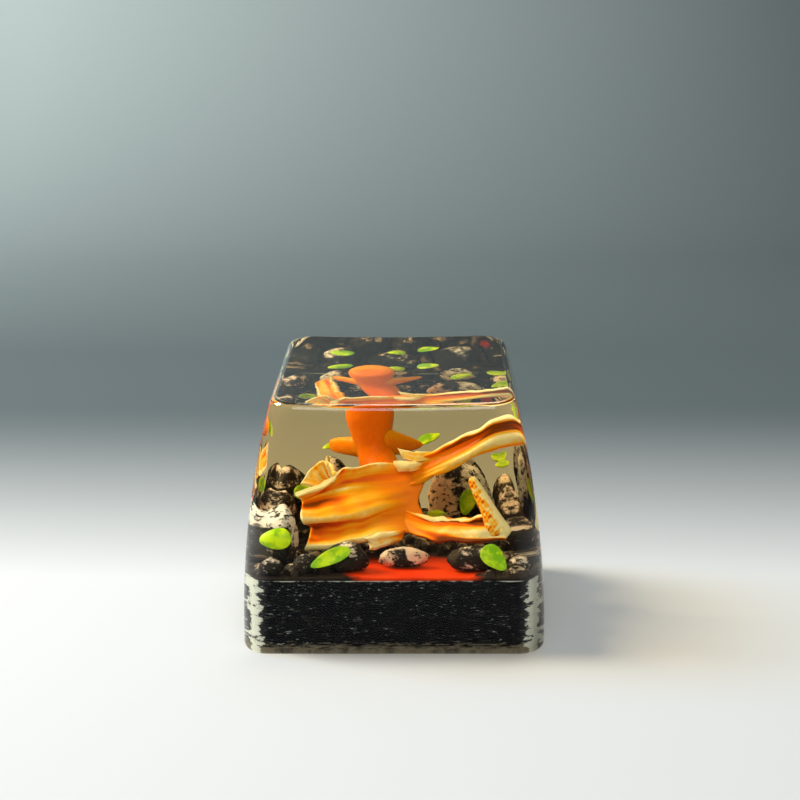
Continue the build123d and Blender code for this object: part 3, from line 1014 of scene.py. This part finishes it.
rear_veil = Sheet(0.26, 6, 0.25, small_grid, (
    (0.62, (-2.9, -0.7, 3.9), (-3.5, 1.2, 4.15), (-3.9, 3.2, 4.15), (-4.3, 5.05, 4.1)),
    (0.40, (-3.2, -0.7, 3.6), (-3.9, 1.2, 3.65), (-4.3, 3.1, 3.6), (-4.7, 4.75, 3.65)),
    (0.58, (-3.5, -0.7, 3.6), (-4.3, 1.1, 3.75), (-4.7, 3.0, 3.65), (-5.05, 4.6, 3.6)),
    (0.44, (-3.8, -0.7, 3.4), (-4.6, 1.0, 3.35), (-5.0, 2.8, 3.25), (-5.2, 4.4, 3.3)),
    (0.66, (-4.1, -0.8, 3.4), (-4.9, 0.9, 3.4), (-5.2, 2.6, 3.3), (-5.45, 4.2, 3.15)),
))
tail_sheets = (
    left_pouches, right_banner, right_wedge, upright_fan, front_fold, crest_spike, root_frill, rear_veil
)

# How far the veil's ripples push it, the length from which a sheet ripples in full, and the widths
# of the bead and of the pale rim, a painted highlight, along its border
ragged_depth = 0.14 * MM
fray_depth = 0.20 * MM
ruffle_depth = 0.14 * MM
crumple_depth = 0.08 * MM
frill_depth = 0.12 * MM
crease_depth = 0.06 * MM
full_run = 6 * MM
bead_width = 0.3 * MM
rim_width = 0.16 * MM

# Tones of the veil: at its root and between its ridges and hollows, and what each ripple adds; the rim,
# crease and frill tones are painted highlights, and the ruffle, crumple and frill shading is painted light
# and shade
root_tone = 0.31
middle_tone = 0.55
end_contrast = 1.4
ridge_power = 1.8
rim_highlight = 0.30
rib_tone = 0.04
ruffle_shading = 0.10
crumple_shading = 0.08
crease_highlight = 0.40
frill_highlight = 0.35
frill_shade = 0.20


def in_pond(places):
    """Millimetres above the pond's floor as metres in the frame."""
    return np.asarray(places) * MM + np.array([0.0, 0.0, pond_floor])


def rod_rings(rod):
    """Rings of a rounded body along a spine.

    Each ring is an ellipse across the spine: the first half size along the rod's axis, made
    square to the spine's run, and the second along the direction square to both.
    """
    rows, columns = rod.grid
    path = smooth_at(np.array(rod.stations), np.linspace(0, 1, rows))
    spine = in_pond(path[:, :3])
    along = unit(np.gradient(spine, axis=0))
    axis = np.array(rod.axis)
    first = unit(axis - (along @ axis)[:, None] * along)
    second = np.cross(along, first)
    angle = np.linspace(0, 2 * pi, columns, endpoint=False)[None, :, None]
    first_half = path[:, 3][:, None, None] * MM
    second_half = path[:, 4][:, None, None] * MM
    reach = np.cos(angle) * first_half * first[:, None]
    return spine[:, None] + reach + np.sin(angle) * second_half * second[:, None]


def rod_marks(rod, rings):
    """Marks of a rod: dim_tone, a painted shade, on the side that faces dim_side, and bright_tone elsewhere.

    A ripple of the size mottle is laid over them, and more of it on the shaded side.
    """
    speckle_rate = 16 / MM
    speckle_seed = 5
    lit_share = 0.35
    least_tone = 0.02
    offset = unit(rings - rings.mean(1, keepdims=True))
    # The side that faces dim_side gets painted shade
    facing = ramp(-0.2, 0.9, offset @ unit(np.array(rod.dim_side)))
    tone = rod.bright_tone + (rod.dim_tone - rod.bright_tone) * facing
    strength = rod.mottle * (lit_share + (1 - lit_share) * facing)
    tone = np.clip(tone + strength * ripple(rings * speckle_rate, speckle_seed), least_tone, 1)
    return ring_marks(tone, np.zeros_like(tone))


def veil_skin(sheet, seed, settings):
    """Skin of one sheet of the veil tail, with its marks.

    Smooth curves run through the places of each ridge and hollow, from the root at s = 0 to
    the free edge at s = 1, and smooth curves across them at t from 0 to 1. Ripples then push
    the sheet along its normal and fray its borders, less so near the root. The faces lie half
    the thickness to each side, thinner at the root, and meet in the border over a bead.
    The tone goes from plain orange at the root to that of the ridges and hollows, raised to a
    power that narrows the ridges, with more contrast towards the free edge; the pale ridges
    and the pale rim along the border are painted highlights. The ruffles and crumples are
    painted lighter where they push the sheet out and darker where they push it in, as painted
    light and shade. cos(2 pi ribs t) tints fine ribs, the crease ripple paints highlight
    streaks where it rises and is brown where it dips, and a frill of quicker ripples runs
    along the upper border with painted highlights and painted shade.
    """
    rows, columns = sheet.grid
    tones = np.array([curve[0] for curve in sheet.curves])
    places = in_pond([curve[1:] for curve in sheet.curves])
    s = np.sin(np.linspace(0, pi / 2, rows))
    t = 0.5 + 0.5 * np.sin(np.linspace(-pi / 2, pi / 2, columns))
    stations = places.transpose(1, 0, 2).reshape(places.shape[1], -1)
    runs = smooth_at(stations, s).reshape(rows, len(tones), 3)
    middle = smooth_at(runs.transpose(1, 0, 2).reshape(len(tones), -1), t)
    middle = middle.reshape(columns, rows, 3).transpose(1, 0, 2)
    along = np.gradient(middle, s, axis=0)
    across = np.gradient(middle, t, axis=1)
    normal = unit(np.cross(along, across))
    run = np.linalg.norm(along, axis=-1, keepdims=True)
    span = np.linalg.norm(across, axis=-1, keepdims=True)
    s, t = s[:, None, None], t[None, :, None]
    flat = np.concatenate(np.broadcast_arrays(s, t, 0 * s * t), axis=-1)

    def waves(along_rate, across_rate, shift):
        return ripple(flat * (along_rate, across_rate, 0), seed + shift)[..., None]

    free = ramp(0.1, 0.5, s)
    early = ramp(0.0, 0.25, s)
    slack = min(1.0, run.mean() / full_run) * free
    ragged = waves(0, 9, 0) * ramp(0.6, 1.0, s)
    frayed = waves(18, 0, 30) * ramp(0.2, 0.5, np.abs(t - 0.5))
    ruffle = waves(5, 3, 50)
    crumple = waves(16, 11, 90)
    crease = waves(2.5, 2.2 * sheet.ribs, 70)
    frill = waves(26, 6, 20) * (1 - ramp(0.0, 0.22, t))
    rib = np.cos(2 * pi * sheet.ribs * t + 2.5 * ruffle + crumple)
    middle = middle + along / run * ragged_depth * ragged * slack
    middle = middle + across / span * fray_depth * frayed * slack
    push = (ruffle_depth * ruffle + crumple_depth * crumple + frill_depth * frill) * slack
    middle = middle + normal * (push + crease_depth * crease * early)
    gap = np.minimum(np.minimum(s, 1 - s) * run, np.minimum(t, 1 - t) * span)
    half_thick = sheet.thickness / 2 * MM
    rounding = np.clip(gap / half_thick, 0, 1)
    bead = settings.rim_bead * np.exp(-((gap / bead_width) ** 2))
    half = (half_thick + bead) * np.sqrt(rounding * (2 - rounding)) * ramp(-0.1, 0.35, s)
    half[0], half[-1], half[:, 0], half[:, -1] = 0, 0, 0, 0
    points, quads = pillow_skin(middle + normal * half, middle - normal * half)
    rim = np.exp(-((gap / rim_width) ** 2))
    # The pale ridges are painted highlights
    height = np.clip((smooth_at(tones[:, None], t[0, :, 0])[None] - tones.min()) / np.ptp(tones), 0, 1)
    paint = tones.min() + np.ptp(tones) * height**ridge_power
    paint = middle_tone + (paint - middle_tone) * (1 + end_contrast * ramp(0.55, 0.95, s))
    # The pale rim along the border is a painted highlight
    tone = root_tone + (paint - root_tone) * ramp(0.08, 0.45, s) + rim_highlight * rim * free
    # The ruffles and crumples are painted lighter where they push out and darker where they push in
    tone = tone + (rib_tone * rib + ruffle_shading * ruffle + crumple_shading * crumple) * free
    # The rising crease ripple paints highlight streaks
    tone = tone + crease_highlight * ramp(0.35, 0.9, crease) * early
    tone = tone - sheet.browning * ramp(0.2, 0.7, -crease) * free
    # The frill is painted with highlights and painted shade
    tone = tone + (frill_highlight * ramp(0.1, 0.6, frill) - frill_shade * ramp(0.1, 0.6, -frill)) * free
    tone = np.clip(tone, 0.01, 1)[..., 0]
    rays = np.broadcast_to((t * sheet.ribs + 3 * seed)[..., 0], tone.shape)
    return points, outward(points, quads), pillow_marks(tone, rays)


class OBJECT_OT_keycap_goldfish(bpy.types.Operator):
    """Makes the goldfish with its side fins and veil tail"""

    bl_idname = "object.keycap_goldfish"
    bl_label = "Goldfish"

    def execute(self, context):
        settings = context.scene.keycap_goldfish
        material = orange_figure_material(settings)
        shells = []
        for rod in goldfish_rods:
            rings = rod_rings(rod)
            points, quads, fans = ring_skin(rings)
            shells.append((points, outward(points, quads), outward(points, fans), rod_marks(rod, rings)))
        for seed, sheet in enumerate(tail_sheets):
            points, quads, marks = veil_skin(sheet, seed, settings)
            shells.append((points, quads, np.empty((0, 3), dtype=int), marks))
        starts = np.cumsum([0] + [len(shell[0]) for shell in shells])
        points = np.concatenate([shell[0] for shell in shells])
        quads = np.concatenate([shell[1] + start for shell, start in zip(shells, starts)])
        fans = np.concatenate([shell[2] + start for shell, start in zip(shells, starts)])
        marks = np.concatenate([shell[3] for shell in shells])
        faces = [quads, fans]
        add_piece("goldfish_figure", points, faces, ["goldfish"], material, marks)
        return {"FINISHED"}


def floor_material(settings):
    """Pale floor by the keycap, grey further back as painted shade, and a backdrop paler on the left and
    higher up as painted light.
    """
    material, tree, shader, _ = new_material("studio_floor")
    axes = object_axes(tree)
    falloff = 1.6
    height_share = 2.5
    # Painted shade greys the floor further back, and painted light makes the backdrop paler on the left and
    # higher up
    near = calculate(tree, "POWER", map_range(tree, axes["Y"], low=0.056, high=0.006), falloff)
    run = calculate(tree, "MULTIPLY_ADD", axes["Z"], height_share, axes["Y"])
    rise = map_range(tree, run, low=0.08, high=0.27)
    left = map_range(tree, axes["X"], low=0.06, high=-0.06, start=0.1)
    lift = calculate(tree, "MULTIPLY", rise, left)
    shaded_floor = mix_colours(tree, near, settings.floor_painted_shade, settings.floor_pale)
    paint = mix_colours(tree, lift, shaded_floor, settings.backdrop)
    set_inputs(tree, shader, {"Base Color": paint, "Roughness": 0.9, "Specular IOR Level": 0.1})
    return material


def cove_grid():
    """Floor that runs level, turns up in a quarter circle and stands as a backdrop.

    The profile is a line, an arc and a line in Y and Z, and it is carried along X.
    """
    near_end, bend, radius, height, half = -0.6, 0.14, 0.05, 0.5, 0.7
    level_rows = 40
    columns = 30
    angle = np.linspace(0, pi / 2, 16)[1:]
    level = np.linspace(near_end, bend, level_rows)
    y = np.concatenate([level, bend + radius * np.sin(angle), [bend + radius]])
    z = np.concatenate([0 * level, radius * (1 - np.cos(angle)), [height]])
    x = np.linspace(-half, half, columns)
    grid = np.stack(np.broadcast_arrays(x, y[:, None], z[:, None]), axis=-1)
    return grid.reshape(-1, 3), grid_quads(np.arange(len(y) * columns).reshape(len(y), columns))


# Square soft lamps: their places in metres, sizes, powers in watts and tints
Lamp = namedtuple("Lamp", "name place size power tint")
lamps = (
    Lamp("left_lamp", (-0.19, 0.05, 0.17), 0.10, 1.0, (1.0, 0.98, 0.95)),
    Lamp("front_lamp", (0.02, -0.24, 0.24), 0.22, 0.60, (1.0, 1.0, 1.0)),
    Lamp("back_lamp", (0.03, 0.12, 0.22), 0.10, 0.14, (1.0, 1.0, 1.0)),
)
lamp_aim = (0.0, 0.0, 8 * MM)


def add_lamp(lamp):
    """Makes a lamp that faces the keycap."""
    light = bpy.data.lights.new(lamp.name, "AREA")
    light.shape = "SQUARE"
    light.size = lamp.size
    light.energy = lamp.power
    light.color = lamp.tint
    holder = bpy.data.objects.new(lamp.name, light)
    bpy.context.scene.collection.objects.link(holder)
    holder.location = lamp.place
    holder.rotation_mode = "QUATERNION"
    holder.rotation_quaternion = (Vector(lamp_aim) - Vector(lamp.place)).to_track_quat("-Z", "Y")


def camera_frame(settings):
    """The camera's matrix: it stands off the aim by its angles, then turns and rolls."""
    above = Vector((0.0, 0.0, 1.0))
    level = cos(settings.camera_elevation)
    away = Vector(
        (sin(settings.camera_yaw) * level, -cos(settings.camera_yaw) * level, sin(settings.camera_elevation))
    )
    place = settings.aim_height * above + away * settings.camera_distance
    right = (-away).cross(above).normalized()
    up = right.cross(-away)
    look = (-away + tan(settings.aim_right) * right + tan(settings.aim_up) * up).normalized()
    right = look.cross(above).normalized()
    up = right.cross(look)
    rolled_right = right * cos(settings.camera_roll) + up * sin(settings.camera_roll)
    rolled_up = up * cos(settings.camera_roll) - right * sin(settings.camera_roll)
    turned = Matrix((rolled_right, rolled_up, -look)).transposed()
    return Matrix.Translation(place) @ turned.to_4x4()


class OBJECT_OT_keycap_stage(bpy.types.Operator):
    """Sets the camera, the pale floor and the soft light"""

    bl_idname = "object.keycap_stage"
    bl_label = "Stage"

    def execute(self, context):
        scene = context.scene
        settings = scene.keycap_stage
        scene.view_settings.view_transform = "Standard"

        points, quads = cove_grid()
        mesh = bpy.data.meshes.new("studio_floor")
        mesh.from_pydata(points.tolist(), [], quads.tolist())
        mesh.shade_smooth()
        mesh.materials.append(floor_material(settings))
        floor = bpy.data.objects.new("studio_floor", mesh)
        scene.collection.objects.link(floor)

        world = bpy.data.worlds.new("studio_world")
        world.use_nodes = True
        background = world.node_tree.nodes["Background"]
        set_inputs(world.node_tree, background, {"Color": (0.93, 0.97, 1.0), "Strength": 0.12})
        scene.world = world
        for lamp in lamps:
            add_lamp(lamp)

        camera = bpy.data.cameras.new("photo_camera")
        camera.sensor_fit = "HORIZONTAL"
        camera.angle = settings.lens_angle
        camera.clip_start = 0.01
        holder = bpy.data.objects.new("photo_camera", camera)
        scene.collection.objects.link(holder)
        holder.matrix_world = camera_frame(settings)
        scene.camera = holder
        return {"FINISHED"}


# Each group of settings on the scene, and the operator that uses it
groups = {
    "keycap_resin": (KeycapResinSettings, OBJECT_OT_keycap_clear_block),
    "keycap_base": (KeycapBaseSettings, OBJECT_OT_keycap_base),
    "keycap_pebbles": (KeycapPebbleSettings, OBJECT_OT_keycap_pebbles),
    "keycap_leaves": (KeycapLeafSettings, OBJECT_OT_keycap_leaves),
    "keycap_goldfish": (KeycapGoldfishSettings, OBJECT_OT_keycap_goldfish),
    "keycap_stage": (KeycapStageSettings, OBJECT_OT_keycap_stage),
}


class VIEW3D_PT_keycap(bpy.types.Panel):
    """Lists the keycap's operators and settings"""

    bl_idname = "VIEW3D_PT_keycap"
    bl_label = "Artisan keycap"
    bl_space_type = "VIEW_3D"
    bl_region_type = "UI"
    bl_category = "Keycap"

    def draw(self, context):
        for group, (_, operator) in groups.items():
            box = self.layout.box()
            box.operator(operator.bl_idname)
            settings = getattr(context.scene, group)
            for name in settings.bl_rna.properties.keys():
                if name not in {"rna_type", "name"}:
                    box.prop(settings, name)


classes = (*(kind for pair in groups.values() for kind in pair), VIEW3D_PT_keycap)


def register():
    """Registers the classes and hangs the settings on the scene."""
    for kind in classes:
        bpy.utils.register_class(kind)
    for name, (settings, _) in groups.items():
        setattr(bpy.types.Scene, name, PointerProperty(type=settings))


def unregister():
    """Takes the settings off the scene and removes the classes."""
    for name in groups:
        delattr(bpy.types.Scene, name)
    for kind in reversed(classes):
        bpy.utils.unregister_class(kind)


def main():
    """Registers the add-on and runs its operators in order."""
    register()
    bpy.ops.object.keycap_clear_block()
    bpy.ops.object.keycap_base()
    bpy.ops.object.keycap_pebbles()
    bpy.ops.object.keycap_leaves()
    bpy.ops.object.keycap_goldfish()
    bpy.ops.object.keycap_stage()


if __name__ == "__main__":
    main()
